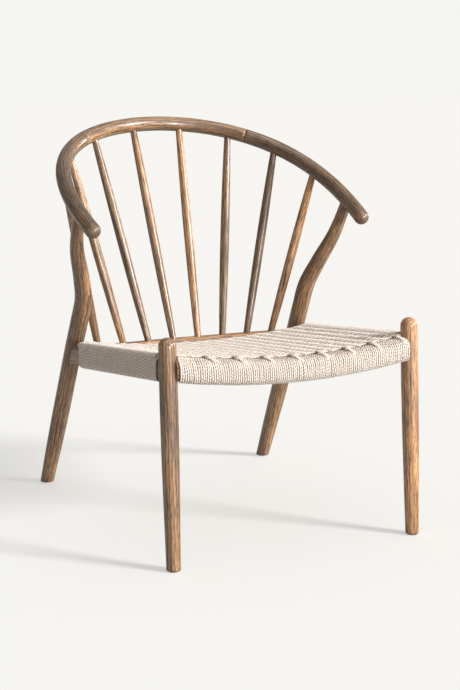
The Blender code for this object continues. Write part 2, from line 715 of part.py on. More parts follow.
def make_legs():
    fronts, rears, glides = {}, {}, []
    for label, side in SIDES:
        fronts[side] = front_leg("front_leg_" + label, side)
        rears[side] = rear_leg("rear_leg_" + label, side)
        front_x, rear_x = side * FRONT_FOOT[0], side * REAR_LEG_KNOTS[0][0]
        glides.append(fit_glide(fronts[side], "floor_glide_front_" + label, front_x, FRONT_FOOT[1]))
        glides.append(fit_glide(rears[side], "floor_glide_rear_" + label, rear_x, REAR_FOOT_Y))
    return fronts, rears, glides


def fit_legs_to_arms(rears, arms):
    """Scoop each rear leg's top to the round arm, then tenon it in."""
    for label, side in SIDES:
        scoop = arm_rod("arm_scoop_" + label, side, GAP)
        cut(rears[side], as_cutter(scoop))
        above = bow_at(side * BOW_LEG_PLACE) + Vector((0.0, 0.0, ABOVE_ARM_RISE))
        upper = block("above_arm_" + label, above, [ABOVE_ARM_SIZE] * 3)
        cut(rears[side], as_cutter(upper))
        join(rears[side], leg_tenon("arm_tenon_" + label, side, 0.0))
        cut(arms[side], as_cutter(leg_tenon("arm_mortise_" + label, side, GAP)))


def main():
    crest, arms = make_bow()
    fronts, rears, glides = make_legs()
    fit_legs_to_arms(rears, arms)
    side_rails = {side: make_side_rail(label, side, fronts[side], rears[side]) for label, side in SIDES}
    front_rail = make_front_rail(fronts)
    spindle_rail = make_spindle_rail(rears)
    back_rail = make_back_rail(side_rails)
    for number in range(1, 9):
        finish_part(make_spindle(number), WOOD, 0.45)
        low, high = spindle_holes(number)
        cut(spindle_rail, low)
        in_crest = SPINDLE_PLACES[int(abs(number - 4.5))] < BOW_SPLICE
        holder = crest if in_crest else arms[math.copysign(1.0, number - 4.5)]
        cut(holder, high)
    for piece in (crest, *arms.values(), *fronts.values(), *rears.values()):
        finish_part(piece, WOOD, 0.42)
    for piece in (*side_rails.values(), front_rail, spindle_rail, back_rail):
        finish_part(piece, WOOD_DARK, 0.5)
    front_wrap = wrap("front_rail_cord_wrap", front_rail_path(FRONT_RUN), FRONT_RAIL_SIZE,
                      FRONT_RAIL_CORNER, front_rail_path(HOLLOW_RUN))
    trim_ends(front_wrap, FRONT_WRAP_END)
    trim_back_corners(front_wrap, FRONT_WRAP_BACK_END)
    for label, side in SIDES:
        cut(front_wrap, as_cutter(front_leg("front_wrap_scoop_" + label, side, GAP)))
    back_wrap = wrap("back_rail_cord_wrap", back_rail_path(BACK_WRAP_RUN), BACK_RAIL_SIZE,
                     RAIL_CORNER, back_rail_path(HOLLOW_RUN))
    trim_ends(back_wrap, BACK_WRAP_END)
    cords = [front_wrap, back_wrap] + [make_side_wrap(label, side) for label, side in SIDES]
    cords.append(make_seat())
    for piece in cords:
        finish_part(piece, PAPER, 0.85)
    for piece in glides:
        finish_part(piece, NYLON, 0.6)


main()
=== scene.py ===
"""Looks of the low spindle-back armchair: oiled wood rods, and a seat woven from real lengths of cord.

Metres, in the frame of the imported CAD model. The chair faces -Y, left is -X. The rods follow the same
centre lines as the CAD rods, and each is compared with the box of the node that it stands for.
"""

import math

import bpy
import numpy as np
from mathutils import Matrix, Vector


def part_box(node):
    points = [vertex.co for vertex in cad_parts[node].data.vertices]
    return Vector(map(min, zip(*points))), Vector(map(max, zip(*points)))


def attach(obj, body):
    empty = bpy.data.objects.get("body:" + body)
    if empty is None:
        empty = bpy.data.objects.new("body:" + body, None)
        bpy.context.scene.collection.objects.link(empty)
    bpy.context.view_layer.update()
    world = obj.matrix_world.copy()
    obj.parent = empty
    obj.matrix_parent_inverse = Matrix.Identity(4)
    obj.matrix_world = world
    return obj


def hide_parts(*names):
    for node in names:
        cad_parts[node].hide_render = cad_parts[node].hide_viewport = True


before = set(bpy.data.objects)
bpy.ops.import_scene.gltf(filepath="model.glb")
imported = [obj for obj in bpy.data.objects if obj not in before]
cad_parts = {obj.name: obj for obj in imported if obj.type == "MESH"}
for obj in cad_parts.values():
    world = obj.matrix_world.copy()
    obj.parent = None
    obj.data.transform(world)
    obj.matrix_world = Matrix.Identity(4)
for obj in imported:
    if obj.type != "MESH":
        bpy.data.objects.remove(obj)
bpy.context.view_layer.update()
SIDES = (("left", -1.0), ("right", 1.0))
BODY = "root"


def box_centre(node):
    """The middle of a CAD node's box."""
    low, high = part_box(node)
    return (low + high) / 2


# ---------------------------------------------------------------- dimensions shared with the CAD model

GAP = 0.0003
CORD = 0.0042
FRONT_FOOT = box_centre("floor_glide_front_right")
FRONT_LEG_HEIGHT = 0.430
FRONT_LEG_TOP = (0.255, -0.313)
FRONT_LEG_RADII = ((0.0, 0.0133), (0.10, 0.0150), (0.20, 0.0164), (0.30, 0.0170), (0.415, 0.0165))
REAR_FOOT = box_centre("floor_glide_rear_right")
REAR_LEG_RAKE = 0.519
REAR_LEG_TOP_Z = 0.630
REAR_LEG_KNOTS = ((0.268, 0.0), (0.264, 0.17), (0.261, 0.327), (0.259, 0.39),
                  (0.2588, 0.441), (0.272, 0.491), (0.292, 0.554), (0.301, REAR_LEG_TOP_Z))
REAR_LEG_RADII = ((0.0, 0.0143), (0.08, 0.0165), (0.16, 0.0179), (0.42, 0.0183), (0.47, 0.0170),
                  (0.53, 0.0150), (0.58, 0.0128), (REAR_LEG_TOP_Z, 0.0112))
BOW_RADIUS = 0.0156
BOW_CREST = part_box("bow_crest")[1] - Vector((0.0, BOW_RADIUS, BOW_RADIUS))
BOW_TILT = math.radians(24.9)
BOW_HALF_WIDTH = 0.2972
BOW_DEPTH = 0.4353
BOW_CREST_HANDLE = 0.109
BOW_ARM_HANDLE = 0.375
BOW_TOE_IN = math.radians(5.6)
BOW_SPLICE = 0.2085
BOW_LEG_PLACE = 0.533
SPINDLE_COUNT = 8
SPINDLE_MIDDLE = (SPINDLE_COUNT + 1) / 2
SPINDLE_PITCH = 0.0585
SPINDLE_PLACES = (0.0553, 0.1670, 0.2806, 0.3990)
SPINDLE_END_RADIUS = 0.0071
SPINDLE_MID_RADIUS = 0.0098
SPINDLE_RAIL_Y = 0.1779
SPINDLE_RAIL_BOW = 0.1694
SPINDLE_RAIL_SIZE = (0.027, 0.036)
SPINDLE_RAIL_CORNER = 0.008
SPINDLE_RAIL_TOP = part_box("spindle_rail")[1].z
FRONT_RAIL_SIZE = (0.036, 0.0395)
FRONT_RAIL_CORNER = 0.014
FRONT_RAIL_Y = -0.3195
FRONT_RAIL_Z = 0.37125
FRONT_RAIL_BOW = 0.009
FRONT_RAIL_DIP = 0.0185
BACK_RAIL_SIZE = (0.024, 0.030)
BACK_RAIL_Y = 0.0850
BACK_RAIL_Z = 0.3285
BACK_RAIL_DIP = 0.0165
DIP_SPAN = 0.240
SIDE_RAIL_SIZE = (0.024, 0.0390)
SIDE_RAIL_Z = 0.37125
SIDE_RAIL_REF_Y = -0.3125
SIDE_RAIL_FALL = 0.117
RAIL_CORNER = 0.007
REAR_JOINT_Z = 0.3146
FRONT_WRAP_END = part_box("front_rail_cord_wrap")[1].x
FRONT_WRAP_BACK_END = 0.2378
BACK_WRAP_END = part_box("back_rail_cord_wrap")[1].x
SIDE_WRAP_START = -0.2970
SIDE_WRAP_END = 0.0965
SEAT_FRONT_HALF_WIDTH = 0.2375
SEAT_FRONT_Y = -0.3135
SEAT_BACK_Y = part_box("seat_weave")[1].y
SEAT_FRONT_TOP = (0.3818, 0.4000)
SEAT_BACK_TOP = (0.3367, 0.3532)
SEAT_FLAT_FROM = 0.252

# ---------------------------------------------------------------- dimensions of the looks only

ROD_SIDES = 40
ROD_STEP = 0.006
DOME_ANGLES = (8.0, 88.0, 11)  # degrees of the first and last ring of a domed end, and how many rings
BOX_SLACK = 0.002  # how far a rod's box may be off the box of its CAD node
CREST_BOX_SLACK = 0.008  # the CAD crest also carries its two dowels
REAR_LEG_BOX_SLACK = 0.010  # the top end is inside the arm, where the CAD leg has its tenon
SPINDLE_TENON = 0.020
SPINDLE_SWELL = (0.06, 0.89, 0.8)  # start and length as shares of a spindle, and the power that blunts it
FRONT_LEG_FIRST_RING = 0.006
REAR_LEG_FIRST_RING = 0.013
SIDE_RAIL_INSETS = (0.004, 0.002)  # of its ends, from the middle lines of the front and rear legs
GRAIN_SEEDS = {"crest": 11, "arm": 12, "spindle": 20, "front_leg": 34, "rear_leg": 44,
               "spindle_rail": 51, "side_rail": 54}
GRAIN_TONES = {"crest": 0.65, "arm": 0.95, "front_leg_left": 0.70, "front_leg_right": 0.0,
               "spindle_rail": 0.0, "side_rail": 0.5}  # 0 is golden and 1 is grey-brown; the right front leg and the spindle rail are set at the golden end, the left front leg browner
TWIST = 0.0180  # length of one full turn of the three strands of a cord
STRAND_SIDES = (0.60, 0.84, 1.0) * 3  # radius shares round a cord: a groove, then a ply, three times
TWIST_KNOT = 0.06  # distance over which the twist drifts
TWIST_DRIFT = 0.5  # radians, for each such distance
CORD_STEP = 0.0022
CORD_RADIUS = CORD / 2
WINDING_STEP = CORD_STEP * 0.9
WOBBLE_KNOT = 0.04
WOBBLE = 0.00022  # sideways, of a cord wound round a rail
LEG_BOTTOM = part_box("front_leg_right")[0].z
SPLICE_PLUG = (0.004, 0.80)  # length and radius share of the end of each arm inside the crest
PAINTED_SHADE_DEPTHS = (0.0032, 0.0068)  # below the weave's top, between which the cord's painted shade grows from none to full
FAN_REACH = 0.0105  # across the front rail, over which its wrap spreads to its full length
FRONT_SLANT = 0.003  # of the turns on the front rail, sideways over its height
WARP_FIRST = -0.2106
WARP_PITCH = 0.0288
WARP_PAIRS = 16
WEFT_PAIRS = 48
WEFT_CRIMP = 0.0030
WEFT_BUMP = 0.0075  # half width of the rise or fall where a weft crosses a warp pair
WARP_CRIMP = 0.0012
LEAST_WARP_ROOM = 0.3
SIDE_FADE = (0.229, 0.243)  # distances from the middle line, between which the weave goes flat
END_FADE = 0.08  # share of the seat's depth, in which the weave flattens to its edges
EDGE_ROOM = 0.55
WEFT_POINTS = 420
WEFT_SPREAD = 0.245  # of the two cords of a pair from its middle, in pairs
WEFT_SCATTER = 0.00012
WEFT_PARTING = 0.0003  # how far the two cords of a pair move apart at a warp pair
WEFT_SWAY = 0.0004
WEFT_END_INSET = 0.0035  # where a weft starts to turn down, from the outer face of the side rail
CORNER_INSET = 0.003
CORNER_REACH = (CORD, CORD * 0.8)
SIDE_REACH = (0.0080, 0.0059)  # of a weft's bend over a side rail, upward and outward
TUCK_IN = 0.0016
TUCK_DOWN = 0.005
WARP_POINTS = 380
WARP_TURN = 0.003  # radius of a warp's bend at the back edge
WARP_TUCK = (0.0, -0.0005, -0.006)
OVER_EDGE_RISE = 0.0024  # of the warps that come over the front edge in sight
OVER_EDGE_SHARE = 0.02
LEAD_IN_ANGLES = (136.0, 94.0)  # degrees round the front rail's top corner, from its face to its top
LEAD_IN_REACH = (0.55, 1.95)  # in cords, outward from the rail
LEAD_IN_LEAN = 0.0130
LEAD_IN_CURVE = 0.8
NAILED_WEFTS = range(2, WEFT_PAIRS - 3)
NAIL_RADIUS = 0.0008
NAIL_SIDES = 8
NAIL_STEP = 0.001
NAIL_SUNK = 0.002
NAIL_DROP = 0.004  # below the middle line of the rail
NAIL_REACH = CORD + 0.0045
NAIL_BEND = 0.007

# ---------------------------------------------------------------- stage, lights and camera in numbers

FLOOR_SIZE = 60.0
FLOOR_SEEN_GLOW = 0.328  # added where the camera sees the floor
FLOOR_GLOW = 0.12
WORLD_LIGHT_SIDE = (0.62, -0.38, 0.68)
WORLD_DARK = (0.140, 0.120, 0.100, 1.0)
WORLD_LIGHT = (0.52, 0.515, 0.51, 1.0)
WORLD_SEEN = (0.921, 0.913, 0.879, 1.0)
SUN_COLOUR = (1.0, 0.990, 0.975)
KEY_LIGHT = "key_sun"
LIGHTS = (  # name, direction towards it, strength and angular size in degrees
    (KEY_LIGHT, (0.726, -0.794, 0.457), 3.65, 14.0),
    ("front_strip", (0.16, -0.99, 0.10), 2.0, 8.0),
    ("edge_strip", (0.97, 0.10, 0.22), 1.0, 8.0),
    ("top_panel", (0.15, -0.25, 1.0), 1.1, 60.0))
CAMERA_LENS = 79.42
CAMERA_SENSOR = 36.0
CAMERA_PLACE = (-1.3211, -2.7847, 0.9191)
CAMERA_TURN = (79.412, 0.0, -25.739)


# ---------------------------------------------------------------- centre lines

def table_value(table, place):
    """Read a value from (place, value) pairs with straight lines between them."""
    return float(np.interp(place, [row[0] for row in table], [row[1] for row in table]))


def bow_point(t):
    """The right half of the bow's centre line, t from 0 at the back to 1 at the arm's end."""
    tip = Vector((BOW_HALF_WIDTH, BOW_DEPTH))
    aim = Vector((math.sin(BOW_TOE_IN), -math.cos(BOW_TOE_IN)))
    controls = (Vector((0.0, 0.0)), Vector((BOW_CREST_HANDLE, 0.0)), tip + BOW_ARM_HANDLE * aim, tip)
    flat = Vector((0.0, 0.0))
    for index, control in enumerate(controls):
        flat += control * math.comb(3, index) * t ** index * (1.0 - t) ** (3 - index)
    return Vector((flat.x, BOW_CREST.y - flat.y * math.cos(BOW_TILT),
                   BOW_CREST.z - flat.y * math.sin(BOW_TILT)))


def bow_table(count=400):
    """Pairs of distance along the half bow and t."""
    table = [(0.0, 0.0)]
    for index in range(1, count + 1):
        step = (bow_point(index / count) - bow_point((index - 1) / count)).length
        table.append((table[-1][0] + step, index / count))
    return table


BOW_TABLE = bow_table()
BOW_LENGTH = BOW_TABLE[-1][0]


def bow_at(distance):
    """The bow's centre line at a distance from its middle, to the right where that is positive."""
    point = bow_point(table_value(BOW_TABLE, abs(distance)))
    return Vector((math.copysign(1.0, distance) * point.x, point.y, point.z))


def rear_leg_at(z):
    """The centre of the right rear leg at a height, on a smooth curve through its knots."""
    knots = REAR_LEG_KNOTS
    index = max(i for i, knot in enumerate(knots[:-1]) if knot[1] <= max(z, 0.0))
    (x0, z0), (x1, z1), (x2, z2) = knots[max(0, index - 1)], knots[index], knots[index + 1]
    x3, z3 = knots[min(len(knots) - 1, index + 2)]
    share = (z - z1) / (z2 - z1)
    slope_in = (x2 - x0) / (z2 - z0) * (z2 - z1)
    slope_out = (x3 - x1) / (z3 - z1) * (z2 - z1)
    x = ((2 * share ** 3 - 3 * share ** 2 + 1) * x1 + (share ** 3 - 2 * share ** 2 + share) * slope_in
         + (3 * share ** 2 - 2 * share ** 3) * x2 + (share ** 3 - share ** 2) * slope_out)
    return Vector((x, REAR_FOOT.y - REAR_LEG_RAKE * z, z))


def dip(x, depth):
    """A shallow curve, deepest at the middle and zero at the ends of the span."""
    return depth * (1.0 - (np.asarray(x) / DIP_SPAN) ** 2)


def side_rail_centre(side, y):
    y = np.asarray(y, float)
    z = SIDE_RAIL_Z - SIDE_RAIL_FALL * (y - SIDE_RAIL_REF_Y)
    rear = rear_leg_at(REAR_JOINT_Z)
    x = FRONT_LEG_TOP[0] + (rear.x - FRONT_LEG_TOP[0]) * (y - FRONT_LEG_TOP[1]) / (rear.y - FRONT_LEG_TOP[1])
    return np.stack([side * x, y, z], axis=-1)


def front_rail_centre(x):
    x = np.asarray(x, float)
    y = FRONT_RAIL_Y - dip(x, FRONT_RAIL_BOW)
    z = FRONT_RAIL_Z - dip(x, FRONT_RAIL_DIP)
    return np.stack([x, y, z], axis=-1)


def back_rail_centre(x):
    x = np.asarray(x, float)
    return np.stack([x, np.full_like(x, BACK_RAIL_Y), BACK_RAIL_Z - dip(x, BACK_RAIL_DIP)], axis=-1)


def spindle_rail_centre(x):
    x = np.asarray(x, float)
    height = np.full_like(x, SPINDLE_RAIL_TOP - SPINDLE_RAIL_SIZE[1] / 2)
    return np.stack([x, SPINDLE_RAIL_Y - SPINDLE_RAIL_BOW * x ** 2, height], axis=-1)


# ---------------------------------------------------------------- meshes

def unit(rows):
    """The same vectors at length 1."""
    return rows / np.maximum(np.linalg.norm(rows, axis=-1, keepdims=True), 1e-12)


def ring_faces(rings, sides, first):
    """Quads between neighbouring rings of vertices, and the two end faces."""
    start = first + np.arange(rings - 1)[:, None] * sides + np.arange(sides)[None, :]
    after = first + np.arange(rings - 1)[:, None] * sides + (np.arange(sides) + 1)[None, :] % sides
    quads = np.stack([start, after, after + sides, start + sides], axis=-1).reshape(-1, 4)
    caps = [first + np.arange(sides)[::-1], first + (rings - 1) * sides + np.arange(sides)]
    return quads, caps


def make_mesh(name, points, quads, caps):
    mesh = bpy.data.meshes.new(name)
    corners = np.concatenate([quads.ravel()] + list(caps)).astype(np.int32)
    counts = np.concatenate([np.full(len(quads), 4), [len(cap) for cap in caps]]).astype(np.int32)
    mesh.vertices.add(len(points))
    mesh.vertices.foreach_set("co", points.astype(np.float32).ravel())
    mesh.loops.add(len(corners))
    mesh.loops.foreach_set("vertex_index", corners)
    mesh.polygons.add(len(counts))
    mesh.polygons.foreach_set("loop_start", np.concatenate([[0], np.cumsum(counts)[:-1]]).astype(np.int32))
    mesh.polygons.foreach_set("use_smooth", np.ones(len(counts), bool))
    mesh.update(calc_edges=True)
    mesh.validate()
    piece = bpy.data.objects.new(name, mesh)
    bpy.context.scene.collection.objects.link(piece)
    return piece


def ring_points(path, first, second, angles, reach):
    """A ring of points round each point of a path, in the plane of its two normals."""
    return path[:, None, :] + reach * (np.cos(angles)[..., None] * first[:, None, :]
                                       + np.sin(angles)[..., None] * second[:, None, :])


def join_tubes(name, tubes):
    """One piece from closed tubes, each an array of rings of points."""
    points, quads, caps, count = [], [], [], 0
    for rings in tubes:
        more, ends = ring_faces(rings.shape[0], rings.shape[1], count)
        points.append(rings.reshape(-1, 3))
        quads.append(more)
        caps += ends
        count += rings.shape[0] * rings.shape[1]
    return make_mesh(name, np.concatenate(points), np.concatenate(quads), caps)


def add_attribute(piece, name, kind, values):
    """Give every point of a piece a value or a vector that its material reads."""
    made = piece.data.attributes.new(name, kind, "POINT")
    key = "vector" if kind == "FLOAT_VECTOR" else "value"
    made.data.foreach_set(key, np.asarray(values, np.float32).ravel())


def place_piece(piece, finish, slot, *nodes):
    """Give a piece its material and its body, and hide the CAD nodes that it stands for. The slot is not
    used.
    """
    piece.data.materials.append(finish)
    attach(piece, BODY)
    if nodes:
        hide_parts(*nodes)
    return piece


def same_place(piece, node, slack):
    """Stop if a piece's box isn't its CAD node's box within the slack."""
    low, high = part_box(node)
    corners = np.array([vertex.co for vertex in piece.data.vertices])
    off = max(np.abs(corners.min(0) - np.array(low)).max(), np.abs(corners.max(0) - np.array(high)).max())
    if off > slack:
        raise ValueError(f"{piece.name} is {off * 1000:.1f} mm away from {node}")


def carried_frames(path):
    """Tangents and two normals that are carried along a path without twist."""
    tangents = unit(np.gradient(path, axis=0))
    normal = np.cross(tangents[0], (0.0, 1.0, 0.3))
    normals = []
    for tangent in tangents:
        normal = normal - tangent * np.dot(normal, tangent)
        normal = normal / np.linalg.norm(normal)
        normals.append(normal)
    normals = np.array(normals)
    return tangents, normals, np.cross(tangents, normals)


def wood_piece(name, path, sections, seed, level=None, tone=None):
    """A bar along a path with one outline of (across, up) points at each place of the path.

    The wood_place attribute holds the place in the wood, with the grain along its third axis. A level cuts
    the first end flat at that height.
    """
    path = np.array([tuple(point) for point in path])
    tangents, first, second = carried_frames(path)
    length = np.concatenate([[0.0], np.cumsum(np.linalg.norm(np.diff(path, axis=0), axis=1))])
    points = (path[:, None, :] + sections[..., :1] * first[:, None, :]
              + sections[..., 1:] * second[:, None, :])
    if level is not None:
        points[0] += tangents[0] * ((level - points[0, :, 2:]) / tangents[0, 2])
    rings, sides = sections.shape[:2]
    piece = join_tubes(name, [points])
    draw = np.random.default_rng(seed)
    shift = draw.uniform((-0.03, 0.03, 0.0), (0.03, 0.09, 3.0))
    turn = draw.uniform(0.0, 2 * math.pi)
    across = sections[..., 0] * math.cos(turn) - sections[..., 1] * math.sin(turn)
    up = sections[..., 0] * math.sin(turn) + sections[..., 1] * math.cos(turn)
    along = np.repeat(length[:, None], sides, axis=1)
    add_attribute(piece, "wood_place", "FLOAT_VECTOR", np.stack([across, up, along], axis=-1) + shift)
    tone = draw.uniform(0.0, 1.0) if tone is None else tone
    add_attribute(piece, "wood_tone", "FLOAT", np.full(rings * sides, tone))
    return piece


def round_sections(radii):
    """Round outlines, one for each radius."""
    angles = np.arange(ROD_SIDES) * 2 * math.pi / ROD_SIDES
    circle = np.stack([np.cos(angles), np.sin(angles)], axis=-1)
    return np.asarray(radii)[:, None, None] * circle[None, :, :]


def outline(size, corner, offset=0.0, steps=8):
    """A closed rounded rectangle, width across and height up, grown all round by an offset."""
    points = []
    for turn, (sx, sy) in enumerate(((1, 1), (-1, 1), (-1, -1), (1, -1))):
        centre = np.array((sx * (size[0] / 2 - corner), sy * (size[1] / 2 - corner)))
        for step in range(steps + 1):
            angle = math.pi / 2 * (turn + step / steps)
            points.append(centre + (corner + offset) * np.array((math.cos(angle), math.sin(angle))))
    return np.array(points)


def domed(path, radii, radius, start=False):
    """Add a hemispherical end to a rod."""
    if start:
        path, radii = path[::-1], radii[::-1]
    aim = (path[-1] - path[-2]).normalized()
    end = path[-1].copy()
    for angle in np.linspace(*DOME_ANGLES):
        path.append(end + aim * radius * math.sin(math.radians(angle)))
        radii.append(radius * math.cos(math.radians(angle)))
    if start:
        path, radii = path[::-1], radii[::-1]
    return path, radii


# ---------------------------------------------------------------- materials

def new_material(name):
    """A new material, its node tree and its Principled shader."""
    made = bpy.data.materials.new(name)
    made.use_nodes = True
    return made, made.node_tree, made.node_tree.nodes["Principled BSDF"]


def add_node(tree, kind, inputs=(), **settings):
    """Add a node. An input is a value, or a socket to link from."""
    made = tree.nodes.new(kind)
    for key, value in settings.items():
        setattr(made, key, value)
    for socket, value in dict(inputs).items():
        if isinstance(value, bpy.types.NodeSocket):
            tree.links.new(value, made.inputs[socket])
        else:
            made.inputs[socket].default_value = value
    return made


def ramp(tree, factor, stops):
    """Colours or greys at places from 0 to 1, read at a factor."""
    made = add_node(tree, "ShaderNodeValToRGB", {"Fac": factor})
    elements = made.color_ramp.elements
    while len(elements) < len(stops):
        elements.new(0.5)
    for element, (place, colour) in zip(elements, stops):
        element.position = place
        element.color = colour if isinstance(colour, tuple) else (colour, colour, colour, 1.0)
    return made.outputs["Color"]


def mix(tree, kind, factor, first, second):
    """Mix two colours. Inputs may be sockets or values."""
    return add_node(tree, "ShaderNodeMix", {0: factor, 6: first, 7: second},
                    data_type="RGBA", blend_type=kind).outputs[2]


def stained_wood():
    """Open-grained wood under a brown stain: growth rings, dark pores, orange and grey-brown zones."""
    made, tree, shader = new_material("stained_wood_lacquer")
    place = add_node(tree, "ShaderNodeAttribute", attribute_name="wood_place").outputs["Vector"]
    tone = add_node(tree, "ShaderNodeAttribute", attribute_name="wood_tone").outputs["Fac"]
    tilted = add_node(tree, "ShaderNodeMapping", {"Vector": place, "Rotation": (0.035, 0.05, 0.0),
                                                  "Scale": (1.0, 1.0, 0.10)}).outputs["Vector"]
    rings = add_node(tree, "ShaderNodeTexWave",
                     {"Vector": tilted, "Scale": 62.0, "Distortion": 4.5, "Detail": 2.0,
                      "Detail Scale": 0.9, "Detail Roughness": 0.55},
                     wave_type="RINGS", rings_direction="Z", wave_profile="SAW").outputs["Fac"]
    stretched = add_node(tree, "ShaderNodeMapping", {"Vector": place, "Scale": (1.0, 1.0, 0.045)})
    streaks = add_node(tree, "ShaderNodeTexNoise",
                       {"Vector": stretched.outputs["Vector"], "Scale": 620.0, "Detail": 3.0,
                        "Roughness": 0.6}).outputs["Fac"]
    pores = add_node(tree, "ShaderNodeTexNoise",
                     {"Vector": stretched.outputs["Vector"], "Scale": 1500.0, "Detail": 2.0}).outputs["Fac"]
    zones = add_node(tree, "ShaderNodeTexNoise",
                     {"Vector": tilted, "Scale": 45.0, "Detail": 2.0}).outputs["Fac"]
    ground = ramp(tree, zones, ((0.30, (0.145, 0.082, 0.046, 1.0)), (0.52, (0.235, 0.132, 0.067, 1.0)),
                                (0.72, (0.365, 0.195, 0.078, 1.0))))
    golden = mix(tree, "MULTIPLY", 1.0, ground, (2.05, 1.92, 1.72, 1.0))
    brown = mix(tree, "MULTIPLY", 1.0, ground, (0.72, 0.76, 0.82, 1.0))
    toned = mix(tree, "MIX", tone, golden, brown)
    ring_lines = ramp(tree, rings, ((0.0, 0.22), (0.22, 0.62), (0.55, 1.0), (1.0, 1.15)))
    streak_lines = ramp(tree, streaks, ((0.36, 0.16), (0.48, 0.90), (0.64, 1.35)))
    pore_lines = ramp(tree, pores, ((0.40, 0.25), (0.50, 1.0)))
    grained = mix(tree, "MULTIPLY", 0.85, toned, ring_lines)
    streaked = mix(tree, "MULTIPLY", 0.90, grained, streak_lines)
    coloured = mix(tree, "MULTIPLY", 0.75, streaked, pore_lines)
    tree.links.new(coloured, shader.inputs["Base Color"])
    gloss = ramp(tree, streaks, ((0.35, 0.58), (0.60, 0.36)))
    tree.links.new(gloss, shader.inputs["Roughness"])
    relief = mix(tree, "MULTIPLY", 0.7, streak_lines, pore_lines)
    bump = add_node(tree, "ShaderNodeBump", {"Height": relief, "Strength": 0.35, "Distance": 0.0004})
    tree.links.new(bump.outputs["Normal"], shader.inputs["Normal"])
    shader.inputs["Coat Weight"].default_value = 0.55
    shader.inputs["Coat Roughness"].default_value = 0.20
    return made


def rail_wood():
    """The same stain on a rail that keeps its CAD mesh, with the grain along X."""
    made, tree, shader = new_material("rail_wood_lacquer")
    place = add_node(tree, "ShaderNodeTexCoord").outputs["Object"]
    stretched = add_node(tree, "ShaderNodeMapping", {"Vector": place, "Scale": (0.05, 1.0, 1.0)})
    streaks = add_node(tree, "ShaderNodeTexNoise", {"Vector": stretched.outputs["Vector"], "Scale": 500.0,
                                                    "Detail": 3.0}).outputs["Fac"]
    colour = ramp(tree, streaks, ((0.35, (0.07, 0.038, 0.02, 1.0)), (0.50, (0.26, 0.145, 0.07, 1.0)),
                                  (0.70, (0.38, 0.21, 0.09, 1.0))))
    tree.links.new(colour, shader.inputs["Base Color"])
    bump = add_node(tree, "ShaderNodeBump", {"Height": streaks, "Strength": 0.3, "Distance": 0.0004})
    tree.links.new(bump.outputs["Normal"], shader.inputs["Normal"])
    shader.inputs["Roughness"].default_value = 0.5
    return made


def paper_cord():
    """Natural twisted paper cord: pale plies, with painted brown shade in the grooves between them and where
    a cord lies deep in the weave.
    """
    made, tree, shader = new_material("paper_cord_natural")
    painted_light_share = add_node(tree, "ShaderNodeAttribute", attribute_name="painted_light_share").outputs["Fac"]
    place = add_node(tree, "ShaderNodeTexCoord").outputs["Object"]
    patches = add_node(tree, "ShaderNodeTexNoise",
                       {"Vector": place, "Scale": 55.0, "Detail": 3.0}).outputs["Fac"]
    fibres = add_node(tree, "ShaderNodeTexNoise",
                      {"Vector": place, "Scale": 1400.0, "Detail": 2.0}).outputs["Fac"]
    pale = ramp(tree, patches, ((0.35, (0.90, 0.830, 0.755, 1.0)), (0.65, (0.95, 0.920, 0.880, 1.0))))
    # painted shade: dark brown in the grooves between the plies and on cords deep in the weave, full pale
    # colour on their outside
    depth = ramp(tree, painted_light_share, ((0.08, (0.22, 0.135, 0.080, 1.0)), (0.64, (0.86, 0.80, 0.745, 1.0)),
                                (1.0, (1.0, 1.0, 1.0, 1.0))))
    coloured = mix(tree, "MULTIPLY", 0.92, pale, depth)
    tree.links.new(coloured, shader.inputs["Base Color"])
    bump = add_node(tree, "ShaderNodeBump", {"Height": fibres, "Strength": 0.4, "Distance": 0.0003})
    tree.links.new(bump.outputs["Normal"], shader.inputs["Normal"])
    shader.inputs["Roughness"].default_value = 0.78
    shader.inputs["Sheen Weight"].default_value = 0.15
    return made


def moulded_nylon():
    """Dark nylon of the floor glides, slightly grained."""
    made, tree, shader = new_material("glide_moulded_nylon")
    place = add_node(tree, "ShaderNodeTexCoord").outputs["Object"]
    grain = add_node(tree, "ShaderNodeTexNoise", {"Vector": place, "Scale": 900.0}).outputs["Fac"]
    colour = ramp(tree, grain, ((0.3, (0.035, 0.030, 0.027, 1.0)), (0.7, (0.065, 0.058, 0.05, 1.0))))
    tree.links.new(colour, shader.inputs["Base Color"])
    bump = add_node(tree, "ShaderNodeBump", {"Height": grain, "Strength": 0.2, "Distance": 0.0002})
    tree.links.new(bump.outputs["Normal"], shader.inputs["Normal"])
    shader.inputs["Roughness"].default_value = 0.6
    return made


def nail_steel():
    """Dull zinc-coated steel."""
    made, tree, shader = new_material("nail_zinc_steel")
    place = add_node(tree, "ShaderNodeTexCoord").outputs["Object"]
    grain = add_node(tree, "ShaderNodeTexNoise", {"Vector": place, "Scale": 700.0}).outputs["Fac"]
    tree.links.new(ramp(tree, grain, ((0.3, 0.32), (0.7, 0.52))), shader.inputs["Roughness"])
    shader.inputs["Base Color"].default_value = (0.55, 0.54, 0.52, 1.0)
    shader.inputs["Metallic"].default_value = 1.0
    return made


WOOD = stained_wood()
PAPER = paper_cord()


# ---------------------------------------------------------------- wood

def bow_length(name, start, end, seed, tone):
    """One of the three lengths of the arm bow. An end at an arm's tip is domed."""
    count = int(abs(end - start) / ROD_STEP)
    path = [bow_at(place) for place in np.linspace(start, end, count)]
    radii = [BOW_RADIUS] * len(path)
    if abs(end) >= BOW_LENGTH - GAP:
        path, radii = domed(path, radii, BOW_RADIUS)
        length, share = SPLICE_PLUG
        path = [bow_at(math.copysign(abs(start) - length, start)), path[0].copy()] + path
        path[2] = bow_at(math.copysign(abs(start) + GAP, start))
        radii = [BOW_RADIUS * share] * 2 + radii
    return wood_piece(name, path, round_sections(radii), seed, tone=tone)


